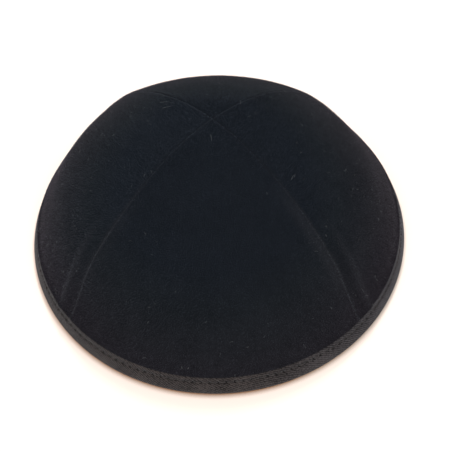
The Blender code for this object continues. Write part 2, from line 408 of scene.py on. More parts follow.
def velvetMaterial(name, lightness, sheen):
    material, tree, shader = newMaterial(name, {
        "Roughness": 0.95,
        "Specular IOR Level": 0.0,
        "Sheen Weight": sheen,
        "Sheen Roughness": velvet["sheenRoughness"],
        "Sheen Tint": velvet["sheenTint"],
    })
    place = addNode(tree, "ShaderNodeTexCoord")
    paintedSheenReach = pointValue(tree, "paintedSheenReach")
    # painted sheen in the dye, lighter with distance from the bluest spot
    dye = addNode(tree, "ShaderNodeValToRGB", inputs={"Fac": paintedSheenReach})
    stops = dye.color_ramp.elements
    for index, (share, tone) in enumerate(velvet["tones"].items()):
        stop = stops[index] if index < 2 else stops.new(share)
        stop.position = share
        stop.color = (*tone, 1.0)
    brush = addNode(tree, "ShaderNodeMapping", inputs={"Vector": place.outputs["UV"]})
    brush.inputs["Scale"].default_value = velvet["brushScale"]
    brushed = fieldNoise(tree, brush.outputs["Vector"], 1.0, 3.0)
    crushed = fieldNoise(tree, place.outputs["Object"], velvet["crushScale"], 4.0)
    tufts = fieldNoise(tree, place.outputs["Object"], velvet["tuftScale"], 2.0, 0.6)
    pile = fieldNoise(tree, place.outputs["Object"], velvet["fibreScale"], 2.0, 0.8)
    grain = calculate(tree, "MULTIPLY_ADD", pile, velvet["fibreShare"], velvet["grainShift"])
    grain = calculate(tree, "MULTIPLY_ADD", tufts, velvet["tuftShare"], grain)
    grain = calculate(tree, "MULTIPLY_ADD", brushed, velvet["brushShare"], grain)
    grain = calculate(tree, "MULTIPLY_ADD", crushed, velvet["crushShare"], grain)
    coarser = mapRange(tree, paintedSheenReach, velvet["grainFrom"], 1.0, *velvet["grainRange"])
    grain = calculate(tree, "MULTIPLY_ADD", grain, coarser, 1.0)
    lighter = calculate(tree, "MULTIPLY", pointValue(tree, "paintedLightness"), lightness)
    dyed = scaleVector(tree, dye.outputs["Color"], calculate(tree, "MULTIPLY", grain, lighter))
    # painted highlight: the base colour turns lighter where the pile catches the light along seams,
    # ridges and lips
    patchy = calculate(tree, "MULTIPLY_ADD", pile, *velvet["highlightPatches"])
    patchy = calculate(tree, "MULTIPLY", pointValue(tree, "paintedHighlight"), patchy)
    paintedHighlightTone = (*(tone * lightness for tone in velvet["paintedHighlightTone"]), 1.0)
    tree.links.new(mixSockets(tree, "RGBA", patchy, dyed, paintedHighlightTone), shader.inputs["Base Color"])
    relief = calculate(tree, "MULTIPLY_ADD", tufts, velvet["reliefOfTufts"], pile)
    setBump(tree, shader, relief, velvet["reliefDepth"], velvet["reliefStrength"])
    return material


# Plain cloth on the inside
backing = {
    "threadScale": 500.0,
    "darkTone": (0.010, 0.010, 0.012),
    "lightTone": (0.020, 0.020, 0.023),
    "reliefDepth": 0.00012,
}


def backingMaterial():
    material, tree, shader = newMaterial("backingCloth", {"Roughness": 0.85, "Specular IOR Level": 0.3})
    place = addNode(tree, "ShaderNodeTexCoord")
    heights = []
    for direction in ("X", "Y"):
        wave = addNode(tree, "ShaderNodeTexWave", {"bands_direction": direction}, {
            "Vector": place.outputs["UV"], "Scale": backing["threadScale"],
            "Distortion": 0.4, "Detail": 1.0})
        heights.append(wave.outputs["Fac"])
    weave = calculate(tree, "MULTIPLY", *heights)
    dye = mixTones(tree, weave, backing["darkTone"], backing["lightTone"])
    tree.links.new(dye, shader.inputs["Base Color"])
    setBump(tree, shader, weave, backing["reliefDepth"])
    return material


def outerDepth(gore, row, length, fromStart, fromEnd, azimuth, point):
    # depth of the velvet's outside below the plain form, its painted highlight, and its painted shade
    fromSeam = np.minimum(fromStart, fromEnd)
    depth = velvet["seamDip"] * np.exp(-(fromSeam / velvet["seamWidth"]) ** 1.5)
    # painted highlight along the seams, growing towards the rim
    paintedHighlight = velvet["highlightAtCrown"] + velvet["highlightTowardsRim"] * smooth(row["share"], *velvet["highlightGrows"])
    paintedHighlight = paintedHighlight * bump(fromSeam, 0, velvet["highlightWidth"])
    paintedShadeFactor = np.ones(len(point))
    ridgeRun = smooth(row["share"], *velvet["ridgeFrom"])
    lipRun = smooth(row["share"], *velvet["lipFrom"]) * (1 - smooth(row["share"], *velvet["lipTo"]))
    valleyAt = velvet["allowance"] * velvet["valleyAt"]
    valleyWidth = velvet["allowance"] * velvet["valleyWidth"]
    for side, distance in enumerate((fromStart, fromEnd)):
        ridge = velvet["ridgeRise"] * bump(distance, velvet["allowance"], velvet["ridgeWidth"])
        lip = velvet["lipRise"] * bump(distance, velvet["lipAt"], velvet["lipWidth"])
        valley = velvet["valleyPaintedShade"] * bump(distance, valleyAt, valleyWidth)
        ridge *= gore["ridges"][side] * ridgeRun
        lip *= gore["lips"][side] * lipRun
        depth -= ridge + lip
        paintedHighlight += velvet["highlightOnRidge"] * ridge / velvet["ridgeRise"]
        paintedHighlight += velvet["highlightOnLip"] * lip / velvet["lipRise"]
        # painted shade in the hollow beside the ridge
        paintedShadeFactor -= valley * gore["ridges"][side] * ridgeRun
    aboveTape = tapeEdge - length
    calm = smooth(aboveTape, 0.0, velvet["calmAbove"])
    coarse = np.array([noise.noise(Vector(p) / velvet["waveSize"]) for p in point])
    fine = np.array([noise.noise(Vector(p) / velvet["creaseSize"]) for p in point])
    depth -= (velvet["waveRise"] * coarse + velvet["creaseRise"] * fine) * calm
    pucker = np.sin(azimuth * velvet["puckerCount"] + velvet["puckerDrift"] * coarse)
    pucker = pucker * np.exp(-np.maximum(aboveTape, 0) / velvet["puckerReach"])
    depth -= velvet["puckerRise"] * pucker * calm
    depth -= velvet["puffRise"] * bump(aboveTape, 0, velvet["puffWidth"])
    tucked = 1 - smooth(aboveTape, -velvet["tuck"] / 2, velvet["tuck"] / 2)
    return depth * (1 - tucked) + pressedDepth * tucked, paintedHighlight, paintedShadeFactor


def makeGore(name, gore, materials):
    rows, columns = velvet["rows"], velvet["columns"]
    mesh, column, level, inside = gridMesh(name, columns, rows, thickness=1.0)
    # rows lie close together where the velvet turns in behind the tape
    turnRows, footRows = velvet["turnRows"], 3
    turnStart, turnEnd = tapeEdge - velvet["turnAbove"], tapeEdge + velvet["turnBelow"]
    lengths = np.concatenate([
        np.linspace(0, turnStart, rows + 1 - turnRows, endpoint=False),
        np.linspace(turnStart, turnEnd, turnRows - footRows, endpoint=False),
        np.linspace(turnEnd, meridianFoot, footRows),
    ])
    spread = np.linspace(-1, 1, columns + 1)
    half = (1 - np.abs(spread)) ** velvet["crowding"] / 2
    shares = np.where(spread < 0, half, 1 - half)
    levels = onMeridian(np.repeat(lengths, columns + 1))
    plainGrid = gorePoint(gore, levels, np.tile(shares, rows + 1), 0.0)
    plainGrid = plainGrid.reshape(rows + 1, columns + 1, 3)
    run = np.zeros((rows + 1, columns + 1))
    run[:, 1:] = np.cumsum(np.linalg.norm(np.diff(plainGrid, axis=1), axis=2), axis=1)
    row = onMeridian(lengths[level])
    length = lengths[level]
    across = shares[column]
    fromStart = run[level, column]
    fromEnd = run[level, -1] - fromStart
    plain = plainGrid[level, column]
    azimuth = np.arctan2(plain[:, 1], plain[:, 0])
    depth, paintedHighlight, paintedShadeFactor = outerDepth(gore, row, length, fromStart, fromEnd, azimuth, plain)
    pressed = length >= tapeEdge - cap["fitGap"]
    innerDepth = np.where(pressed, pressedDepth + cap["pressedWall"], cap["wall"])
    depth = np.where(inside, innerDepth, depth)
    cloth = np.stack([(fromStart - fromEnd) / 2, length], axis=1)
    shapeMesh(mesh, gorePoint(gore, row, across, depth), cloth)
    # distance that drives the painted sheen in the dye
    fromBluest = np.linalg.norm(plain - velvet["bluest"], axis=1)
    setPointValues(mesh, "paintedSheenReach", fromBluest / velvet["paintedSheenFade"])
    setPointValues(mesh, "paintedHighlight", paintedHighlight)
    # painted light and shade: each gore's painted lightness, darkened by the painted shade in the
    # hollows
    setPointValues(mesh, "paintedLightness", gore["paintedLightness"] * paintedShadeFactor)
    for material in materials:
        mesh.materials.append(material)
    lining = [int(all(inside[index] for index in face.vertices)) for face in mesh.polygons]
    mesh.polygons.foreach_set("material_index", lining)
    closeMesh(mesh)
    mesh.set_sharp_from_angle(angle=math.radians(60))
    piece = addObject(name, mesh)
    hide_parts(gore["node"])
    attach(piece, "root")
    return piece


# Woven tape folded over the rim, sewn through with one row of stitches
tape = {
    "stitchPitch": 0.00287,
    "stitchBelowEdge": 0.0020,
    "columnsAStitch": 8,
    "grooveDepth": 0.00004,
    "grooveWidth": 0.0005,
    "holeDepth": 0.00050,
    "holeAlong": 0.00052,
    "holeDown": 0.00038,
    "holeTension": (0.45, 1.0),      # each stitch is pulled a little differently
    "tensionSeed": 7,
    # painted shade in the needle holes and along the groove of the stitches
    "holeShade": 0.75,
    "grooveShade": 0.05,
    "puffRise": 0.00010,
    "puffFrom": 0.0036,              # swollen fully between these, down from the tape's edge
    "puffTo": 0.0040,
    "edgeScallop": 0.00012,
    "bluntShare": 0.32,              # rounding of the cut edges, as a share of the wall
    "ribPitch": 0.00078,
    "ribLean": math.radians(30),     # from the tape's length
    "yarnPitch": 0.00062,
    "yarnLean": math.radians(-68),
    "ribSway": 0.9,
    "yarnSway": 0.5,
    "swayScale": 300.0,
    "yarnShare": 0.45,
    "weaveShare": 0.12,              # how strongly the weave shows in the colour
    "wear": {90.0: 0.4, 1500.0: 1.1},  # strength of the uneven dye by its scale
    "reliefDepth": 0.00008,
    "darkTone": (0.0056, 0.0045, 0.0046),
    "lightTone": (0.0430, 0.0362, 0.0348),
    "paintedCoolLight": (1.06, 1.18, 1.36),  # painted light: the tape tinted bluer towards the right, where cooler light falls
    "paintedCoolFrom": 0.01,
    "paintedCoolTo": 0.06,
    "sheen": 0.13,
    "sheenRoughness": 0.30,
    "sheenTint": (0.84, 0.90, 1.0, 1.0),
}


def sectionOfTape():
    # once round the folded tape: a point, its outward normal, and how far it lies down the outer leg,
    # or -1 where it is off that leg
    radius, wall = foldRadius, cap["tapeWall"]
    points = []

    def along(start, direction, normal, steps, first, outer):
        for step in steps:
            points.append((start + direction * step, normal, first + step if outer else -1.0))

    outerTop = foldCentre + hemOut * radius + hemUp * tapeLeg
    blunt = wall * tape["bluntShare"]
    # points lie close together along the stitches
    legSteps = [blunt, *np.linspace(0.0007, 0.0030, 11), *np.linspace(0.0034, tapeLeg, 7)]
    for angle in (90, 60, 30, 0):
        turn = math.radians(angle)
        corner = outerTop - hemUp * blunt - hemOut * blunt
        corner = corner + hemUp * blunt * math.sin(turn) + hemOut * blunt * math.cos(turn)
        points.append((corner, hemOut * math.cos(turn) + hemUp * math.sin(turn), 0.0))
    along(outerTop, -hemUp, hemOut, legSteps[1:], 0.0, True)
    outward = math.pi / 2 - cap["hemLean"]
    for step in range(1, 13):
        angle = outward - math.pi * step / 12
        normal = Vector((math.cos(angle), math.sin(angle)))
        spot = foldCentre + normal * radius
        points.append((Vector((spot.x, max(spot.y, 0.0))), normal, -1.0))
    innerFoot = foldCentre - hemOut * radius
    along(innerFoot, hemUp, -hemOut, np.linspace(tapeLeg / 7, tapeLeg - blunt, 7), 0.0, False)
    innerTop = innerFoot + hemUp * tapeLeg
    for angle in (30, 60, 90):
        turn = math.radians(angle)
        corner = innerTop - hemUp * blunt + hemOut * blunt
        corner = corner + hemUp * blunt * math.sin(turn) - hemOut * blunt * math.cos(turn)
        points.append((corner, -hemOut * math.cos(turn) + hemUp * math.sin(turn), -1.0))
    points.append((innerTop + hemOut * wall - hemUp * blunt, hemOut, -1.0))
    points.append((innerFoot + hemOut * wall, hemOut, -1.0))
    for step in range(1, 6):
        angle = outward - math.pi + math.pi * step / 6
        normal = Vector((math.cos(angle), math.sin(angle)))
        points.append((foldCentre + normal * (radius - wall), -normal, -1.0))
    points.append((outerTop - hemOut * wall - hemUp * tapeLeg, -hemOut, -1.0))
    points.append((outerTop - hemOut * wall - hemUp * blunt, -hemOut, -1.0))
    return points


def tapeMaterial():
    material, tree, shader = newMaterial("twillTape", {
        "Roughness": 0.85,
        "Specular IOR Level": 0.1,
        "Sheen Weight": tape["sheen"],
        "Sheen Roughness": tape["sheenRoughness"],
        "Sheen Tint": tape["sheenTint"],
    })
    place = addNode(tree, "ShaderNodeTexCoord")
    parts = addNode(tree, "ShaderNodeSeparateXYZ", inputs={"Vector": place.outputs["UV"]})
    sway = fieldNoise(tree, place.outputs["Object"], tape["swayScale"], 2.0)

    def waves(lean, pitch, swayed):
        # ridges that lie at this angle to the tape's length
        across = calculate(tree, "MULTIPLY", parts.outputs["X"], -math.sin(lean) / pitch)
        across = calculate(tree, "MULTIPLY_ADD", parts.outputs["Y"], math.cos(lean) / pitch, across)
        across = calculate(tree, "MULTIPLY_ADD", sway, swayed, across)
        return calculate(tree, "SINE", calculate(tree, "MULTIPLY", across, 2 * math.pi))

    rib = waves(tape["ribLean"], tape["ribPitch"], tape["ribSway"])
    yarn = waves(tape["yarnLean"], tape["yarnPitch"], tape["yarnSway"])
    weave = calculate(tree, "MULTIPLY_ADD", yarn, tape["yarnShare"], rib)
    share = calculate(tree, "MULTIPLY_ADD", weave, tape["weaveShare"], 0.5)
    for scale, strength in tape["wear"].items():
        worn = fieldNoise(tree, place.outputs["Object"], scale, 3.0)
        share = calculate(tree, "MULTIPLY_ADD", calculate(tree, "SUBTRACT", worn, 0.5), strength, share)
    # painted shade: the tape darker in the needle holes and the groove
    share = calculate(tree, "SUBTRACT", share, pointValue(tree, "paintedRecessShade"))
    # painted light: the tape's colour turns bluer towards the right
    spot = addNode(tree, "ShaderNodeSeparateXYZ", inputs={"Vector": place.outputs["Object"]})
    paintedCoolShare = mapRange(tree, spot.outputs["X"], tape["paintedCoolFrom"], tape["paintedCoolTo"])
    tint = mixSockets(tree, "VECTOR", paintedCoolShare, (1.0, 1.0, 1.0), tape["paintedCoolLight"])
    dyed = addNode(tree, "ShaderNodeVectorMath", {"operation": "MULTIPLY"}, {
        0: mixTones(tree, share, tape["darkTone"], tape["lightTone"]), 1: tint})
    tree.links.new(dyed.outputs[0], shader.inputs["Base Color"])
    setBump(tree, shader, weave, tape["reliefDepth"])
    return material


def makeTape(material):
    section = sectionOfTape()
    around = stitchCount * tape["columnsAStitch"]
    mesh, column, index = gridMesh("foldedTape", around, len(section))[:3]
    spots = np.array([tuple(spot) for spot, normal, down in section])
    normals = np.array([tuple(normal) for spot, normal, down in section])
    downs = np.array([down for spot, normal, down in section])
    steps = np.linalg.norm(np.diff(spots, axis=0, append=spots[:1]), axis=1)
    run = np.concatenate([[0.0], np.cumsum(steps)])
    which = index % len(section)
    spot, normal, down = spots[which], normals[which], downs[which]
    angle = (column % around) * 2 * math.pi / around
    phase = (column % tape["columnsAStitch"]) / tape["columnsAStitch"]
    fromHole = np.minimum(phase, 1 - phase) * tape["stitchPitch"]
    onLeg = down >= 0
    fromRow = down - tape["stitchBelowEdge"]
    stitch = (column + tape["columnsAStitch"] // 2) // tape["columnsAStitch"] % stitchCount
    tensions = np.random.default_rng(tape["tensionSeed"]).uniform(*tape["holeTension"], stitchCount)
    hole = bump(fromHole, 0, tape["holeAlong"]) * bump(fromRow, 0, tape["holeDown"])
    hole = tensions[stitch] * hole * onLeg
    groove = bump(fromRow, 0, tape["grooveWidth"]) * onLeg
    swelling = smooth(down, tape["stitchBelowEdge"], tape["puffFrom"])
    swelling = swelling * (1 - smooth(down, tape["puffTo"], tapeLeg)) * onLeg
    lift = tape["puffRise"] * swelling - tape["grooveDepth"] * groove - tape["holeDepth"] * hole
    edge = onLeg * (1 - smooth(down, 0.0, tape["stitchBelowEdge"]))
    scallop = tape["edgeScallop"] * edge * np.cos(2 * math.pi * phase)
    shifted = spot + normal * lift[:, None] - np.array(tuple(hemUp)) * scallop[:, None]
    reach, height = shifted[:, 0], shifted[:, 1]
    place = np.stack([reach * np.cos(angle), reach * np.sin(angle), height], axis=1)
    cloth = np.stack([column / around * 2 * math.pi * cap["rimRadius"], run[index]], axis=1)
    shapeMesh(mesh, place, cloth)
    # painted shade for the holes and the groove, read by the tape's material
    setPointValues(mesh, "paintedRecessShade", tape["holeShade"] * hole + tape["grooveShade"] * groove)
    mesh.materials.append(material)
    closeMesh(mesh)
    piece = addObject("foldedTape", mesh)
    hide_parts("rim_tape")
    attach(piece, "root")


# Geometry Nodes helpers
def newTree(name, sockets):
    tree = bpy.data.node_groups.new(name, "GeometryNodeTree")
    tree.is_modifier = True
    tree.interface.new_socket("Geometry", in_out="INPUT", socket_type="NodeSocketGeometry")
    tree.interface.new_socket("Geometry", in_out="OUTPUT", socket_type="NodeSocketGeometry")
    for label, (kind, value) in sockets.items():
        socket = tree.interface.new_socket(label, in_out="INPUT", socket_type=kind)
        if value is not None:
            socket.default_value = value
    return tree, tree.nodes.new("NodeGroupInput").outputs, tree.nodes.new("NodeGroupOutput")


def runTree(tree, carrier, values, name):
    # sets the named inputs, then turns what the tree makes into a plain mesh of its own
    modifier = carrier.modifiers.new(tree.name, "NODES")
    modifier.node_group = tree
    for item in tree.interface.items_tree:
        if item.in_out == "INPUT" and item.name in values:
            modifier[item.identifier] = values[item.name]
    graph = bpy.context.evaluated_depsgraph_get()
    mesh = bpy.data.meshes.new_from_object(
        carrier.evaluated_get(graph), preserve_all_data_layers=True, depsgraph=graph)
    carrier.modifiers.remove(modifier)
    bpy.data.objects.remove(carrier)
    mesh.name = name
    return addObject(name, mesh)


def randomNumber(tree, seed, low, high):
    # another one for every point
    inputs = {"Seed": seed, 2: low, 3: high}
    return addNode(tree, "FunctionNodeRandomValue", {"data_type": "FLOAT"}, inputs).outputs[1]


# Stitches that lie in the row of needle holes, outside and inside
stitches = {
    "shortening": 0.0003,    # by how much a stitch is shorter than the pitch
    "sizes": (0.9, 1.06),
    "rise": 0.00016,
    "sink": 0.00014,
    "thread": 0.00026,
    "darkTone": (0.022, 0.019, 0.019),
    "lightTone": (0.040, 0.035, 0.034),
    "grainScale": 900.0,
    "reliefDepth": 0.00005,
}


def stitchTree():
    # one stitch between each two needle holes, on a circle round the cap
    tree, given, result = newTree("stitchRow", {
        "Count": ("NodeSocketInt", 8),
        "Row Radius": ("NodeSocketFloat", 0.07),
        "Row Height": ("NodeSocketFloat", 0.006),
        "Normal": ("NodeSocketVector", None),
        "Stitch Length": ("NodeSocketFloat", 0.0025),
        "Rise": ("NodeSocketFloat", 0.0002),
        "Sink": ("NodeSocketFloat", 0.0003),
        "Thread": ("NodeSocketFloat", 0.0003),
        "Seed": ("NodeSocketInt", 1),
        "Material": ("NodeSocketMaterial", None),
    })

    def offset(side, normalShare):
        outwards = scaleVector(tree, given["Normal"], normalShare)
        along = combine(tree, y=calculate(tree, "MULTIPLY", given["Stitch Length"], side))
        both = addNode(tree, "ShaderNodeVectorMath", {"operation": "ADD"}, {0: outwards, 1: along})
        return both.outputs[0]

    sink = calculate(tree, "MULTIPLY", given["Sink"], -1.0)
    path = addNode(tree, "GeometryNodeCurveQuadraticBezier", inputs={
        "Resolution": 8, "Start": offset(-0.5, sink), "Middle": offset(0.0, given["Rise"]),
        "End": offset(0.5, sink)})
    radius = calculate(tree, "MULTIPLY", given["Thread"], 0.5)
    ring = addNode(tree, "GeometryNodeCurvePrimitiveCircle", inputs={"Resolution": 7, "Radius": radius})
    thread = addNode(tree, "GeometryNodeCurveToMesh", inputs={
        "Curve": path.outputs[0], "Profile Curve": ring.outputs["Curve"], "Fill Caps": True})
    spots = addNode(tree, "GeometryNodePoints", inputs={"Count": given["Count"]})
    index = addNode(tree, "GeometryNodeInputIndex").outputs[0]
    turn = calculate(tree, "DIVIDE", calculate(tree, "ADD", index, 0.5), given["Count"])
    turn = calculate(tree, "MULTIPLY", turn, 2 * math.pi)
    x, y = (
        calculate(tree, "MULTIPLY", calculate(tree, operation, turn), given["Row Radius"])
        for operation in ("COSINE", "SINE")
    )
    placed = addNode(tree, "GeometryNodeSetPosition", inputs={
        "Geometry": spots.outputs[0], "Position": combine(tree, x, y, given["Row Height"])})
    sewn = addNode(tree, "GeometryNodeInstanceOnPoints", inputs={
        "Points": placed.outputs[0], "Instance": thread.outputs[0], "Rotation": combine(tree, z=turn),
        "Scale": randomNumber(tree, given["Seed"], *stitches["sizes"])})
    real = addNode(tree, "GeometryNodeRealizeInstances", inputs={"Geometry": sewn.outputs[0]})
    smoothed = addNode(tree, "GeometryNodeSetShadeSmooth", inputs={"Geometry": real.outputs[0]})
    dyed = addNode(tree, "GeometryNodeSetMaterial", inputs={
        "Geometry": smoothed.outputs[0], "Material": given["Material"]})
    tree.links.new(dyed.outputs[0], result.inputs[0])
    return tree


# Lint and loose hairs lying on the pile. A hair's place is its way down the meridian and its share
# of the gore's width. Its turn is measured from straight down.
lint = {
    "density": 26000.0,      # fibres on a square metre, at its thickest
    "thickens": (0.2, 0.9),  # from none to its thickest, between these shares of the velvet's painted sheen reach
    "length": 0.00045,
    "thickness": 0.00003,
    "sizes": (0.5, 2.2),
    "bend": 0.15,            # sideways, as a share of the length
    "hairThickness": 0.00005,
    "hairBend": 0.2,
    "arch": 0.12,            # upwards
    "lift": 0.00032,         # lies on the tips of the pile
    "darkTone": (0.070, 0.072, 0.076),
    "lightTone": (0.22, 0.23, 0.24),
    "grainScale": 120.0,
    "hairs": [
        {"gore": "velvetLeft", "down": 0.0223, "across": 0.179, "length": 0.0032, "turn": -160},
        {"gore": "velvetLeft", "down": 0.0254, "across": 0.109, "length": 0.0024, "turn": -165},
        {"gore": "velvetLeft", "down": 0.0288, "across": 0.378, "length": 0.0012, "turn": 166},
        {"gore": "velvetLeft", "down": 0.0275, "across": 0.428, "length": 0.0018, "turn": 153},
        {"gore": "velvetLeft", "down": 0.0319, "across": 0.960, "length": 0.0009, "turn": -159},
        {"gore": "velvetLeft", "down": 0.0291, "across": 0.985, "length": 0.0012, "turn": 98},
        {"gore": "velvetLeft", "down": 0.0826, "across": 0.751, "length": 0.0016, "turn": 140},
        {"gore": "velvetLeft", "down": 0.0801, "across": 0.736, "length": 0.0012, "turn": 144},
        {"gore": "velvetFront", "down": 0.0117, "across": 0.488, "length": 0.0024, "turn": 10},
        {"gore": "velvetFront", "down": 0.0534, "across": 0.114, "length": 0.0010, "turn": 110},
        {"gore": "velvetFront", "down": 0.0599, "across": 0.955, "length": 0.0011, "turn": 63},
        {"gore": "velvetFront", "down": 0.0363, "across": 0.886, "length": 0.0008, "turn": -19},
        {"gore": "velvetFront", "down": 0.0888, "across": 0.791, "length": 0.0018, "turn": 17},
        {"gore": "velvetFront", "down": 0.0900, "across": 0.294, "length": 0.0012, "turn": 120},
        {"gore": "velvetRight", "down": 0.0372, "across": 0.104, "length": 0.0022, "turn": 87},
        {"gore": "velvetRight", "down": 0.0378, "across": 0.129, "length": 0.0012, "turn": 99},
        {"gore": "velvetRight", "down": 0.0618, "across": 0.368, "length": 0.0013, "turn": 78},
        {"gore": "velvetRight", "down": 0.0602, "across": 0.318, "length": 0.0020, "turn": 79},
        {"gore": "velvetRight", "down": 0.0876, "across": 0.060, "length": 0.0014, "turn": 46},
        {"gore": "velvetRight", "down": 0.0844, "across": 0.055, "length": 0.0020, "turn": 4},
        {"gore": "velvetRight", "down": 0.0142, "across": 0.980, "length": 0.0022, "turn": -100},
        {"gore": "velvetRight", "down": 0.0167, "across": 0.617, "length": 0.0013, "turn": 25},
    ],
}


def bentFibre(tree, length, thickness, bend):
    # one fibre lying along X, bent sideways and a little upwards
    half = calculate(tree, "MULTIPLY", length, 0.5)
    sideways = calculate(tree, "MULTIPLY", length, bend)
    upwards = calculate(tree, "MULTIPLY", length, lint["arch"])
    path = addNode(tree, "GeometryNodeCurveQuadraticBezier", inputs={
        "Resolution": 5, "Start": combine(tree, calculate(tree, "MULTIPLY", half, -1.0)),
        "Middle": combine(tree, y=sideways, z=upwards), "End": combine(tree, half)})
    radius = calculate(tree, "MULTIPLY", thickness, 0.5)
    ring = addNode(tree, "GeometryNodeCurvePrimitiveCircle", inputs={"Resolution": 4, "Radius": radius})
    return addNode(tree, "GeometryNodeCurveToMesh", inputs={
        "Curve": path.outputs[0], "Profile Curve": ring.outputs["Curve"], "Fill Caps": True}).outputs[0]


def realFibres(tree, result, points, fibre, rotation, scale, material):
    fibres = addNode(tree, "GeometryNodeInstanceOnPoints", inputs={
        "Points": points, "Instance": fibre, "Rotation": rotation, "Scale": scale})
    real = addNode(tree, "GeometryNodeRealizeInstances", inputs={"Geometry": fibres.outputs[0]})
    dyed = addNode(tree, "GeometryNodeSetMaterial", inputs={
        "Geometry": real.outputs[0], "Material": material})
    tree.links.new(dyed.outputs[0], result.inputs[0])


def lintTree():
    tree, given, result = newTree("lintScatter", {
        "Density": ("NodeSocketFloat", 1000.0),
        "Fibre Length": ("NodeSocketFloat", 0.001),
        "Thickness": ("NodeSocketFloat", 0.0001),
        "Lift": ("NodeSocketFloat", 0.0),
        "Seed": ("NodeSocketInt", 1),
        "Material": ("NodeSocketMaterial", None),
    })
    paintedSheenReach = addNode(tree, "GeometryNodeInputNamedAttribute", {"data_type": "FLOAT"}, {"Name": "paintedSheenReach"})
    share = mapRange(tree, paintedSheenReach.outputs["Attribute"], *lint["thickens"])
    density = calculate(tree, "MULTIPLY", given["Density"], share)
    scattered = addNode(tree, "GeometryNodeDistributePointsOnFaces", inputs={
        "Mesh": given["Geometry"], "Density": density, "Seed": given["Seed"]})
    lifted = addNode(tree, "GeometryNodeSetPosition", inputs={
        "Geometry": scattered.outputs["Points"],
        "Offset": scaleVector(tree, scattered.outputs["Normal"], given["Lift"])})
    turned = addNode(tree, "FunctionNodeRotateRotation", {"rotation_space": "LOCAL"}, {
        "Rotation": scattered.outputs["Rotation"],
        "Rotate By": combine(tree, z=randomNumber(tree, 5, 0.0, 2 * math.pi))})
    size = randomNumber(tree, 9, *lint["sizes"])
    fibre = bentFibre(tree, given["Fibre Length"], given["Thickness"], lint["bend"])
    realFibres(tree, result, lifted.outputs[0], fibre, turned.outputs[0], size, given["Material"])
    return tree


def pileTree():
    # short pile standing on the cloth, each tuft a thin cone that leans a little its own way
    tree, given, result = newTree("standingPile", {
        "Density": ("NodeSocketFloat", 1000.0),
        "Pile Length": ("NodeSocketFloat", 0.001),
        "Thickness": ("NodeSocketFloat", 0.0001),
        "Lean": ("NodeSocketFloat", 0.5),
        "Seed": ("NodeSocketInt", 1),
        "Material": ("NodeSocketMaterial", None),
    })
    scattered = addNode(tree, "GeometryNodeDistributePointsOnFaces", inputs={
        "Mesh": given["Geometry"], "Density": given["Density"], "Seed": given["Seed"]})
    lean = addNode(tree, "FunctionNodeRandomValue", {"data_type": "FLOAT_VECTOR"}, {
        "Seed": given["Seed"], 0: (-1.0, -1.0, -1.0), 1: (1.0, 1.0, 1.0)})
    turned = addNode(tree, "FunctionNodeRotateRotation", {"rotation_space": "LOCAL"}, {
        "Rotation": scattered.outputs["Rotation"],
        "Rotate By": scaleVector(tree, lean.outputs[0], given["Lean"])})
    tuft = addNode(tree, "GeometryNodeMeshCone", {"fill_type": "NONE"}, {
        "Vertices": 3, "Radius Bottom": calculate(tree, "MULTIPLY", given["Thickness"], 0.5),
        "Depth": given["Pile Length"]})
    size = randomNumber(tree, 3, *velvet["pileSizes"])
    realFibres(tree, result, scattered.outputs["Points"], tuft.outputs["Mesh"], turned.outputs[0],
               size, given["Material"])
    return tree


def hairTree():
    # one hair on every point, lying along the point's own direction and as long as it says
    tree, given, result = newTree("laidHairs", {
        "Thickness": ("NodeSocketFloat", 0.0001),
        "Material": ("NodeSocketMaterial", None),
    })

    def named(label, kind):
        node = addNode(tree, "GeometryNodeInputNamedAttribute", {"data_type": kind}, {"Name": label})
        return node.outputs["Attribute"]

    unit = 0.001
    upright = addNode(tree, "FunctionNodeAlignRotationToVector", {"axis": "Z"}, {
        "Vector": named("facing", "FLOAT_VECTOR")})
    laid = addNode(tree, "FunctionNodeAlignRotationToVector", {"axis": "X", "pivot_axis": "Z"}, {
        "Rotation": upright.outputs[0], "Vector": named("along", "FLOAT_VECTOR")})
    longer = combine(tree, calculate(tree, "DIVIDE", named("hairLength", "FLOAT"), unit), 1.0, 1.0)
    points = addNode(tree, "GeometryNodeMeshToPoints", inputs={"Mesh": given["Geometry"]})
    fibre = bentFibre(tree, unit, given["Thickness"], lint["hairBend"])
    realFibres(tree, result, points.outputs[0], fibre, laid.outputs[0], longer, given["Material"])
    return tree


def threadMaterial():
    material, tree, shader = newMaterial("stitchThread", {"Roughness": 0.7, "Specular IOR Level": 0.3})
    place = addNode(tree, "ShaderNodeTexCoord")
    grain = fieldNoise(tree, place.outputs["Object"], stitches["grainScale"], 2.0)
    dye = mixTones(tree, grain, stitches["darkTone"], stitches["lightTone"])
    tree.links.new(dye, shader.inputs["Base Color"])
    setBump(tree, shader, grain, stitches["reliefDepth"])
    return material


def lintMaterial():
    material, tree, shader = newMaterial("lintFibre", {"Roughness": 0.9})
    place = addNode(tree, "ShaderNodeTexCoord")
    grain = fieldNoise(tree, place.outputs["Object"], lint["grainScale"], 1.0)
    dye = mixTones(tree, grain, lint["darkTone"], lint["lightTone"])
    tree.links.new(dye, shader.inputs["Base Color"])
    return material


def makeStitches(name, material, radius, height, normal, seed):
    carrier = addObject(name + "Carrier", bpy.data.meshes.new(name + "Carrier"))
    piece = runTree(stitchRow, carrier, {
        "Count": stitchCount,
        "Row Radius": radius,
        "Row Height": height,
        "Normal": normal,
        "Stitch Length": tape["stitchPitch"] - stitches["shortening"],
        "Rise": stitches["rise"],
        "Sink": stitches["sink"],
        "Thread": stitches["thread"],
        "Seed": seed,
        "Material": material,
    }, name)
    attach(piece, "root")


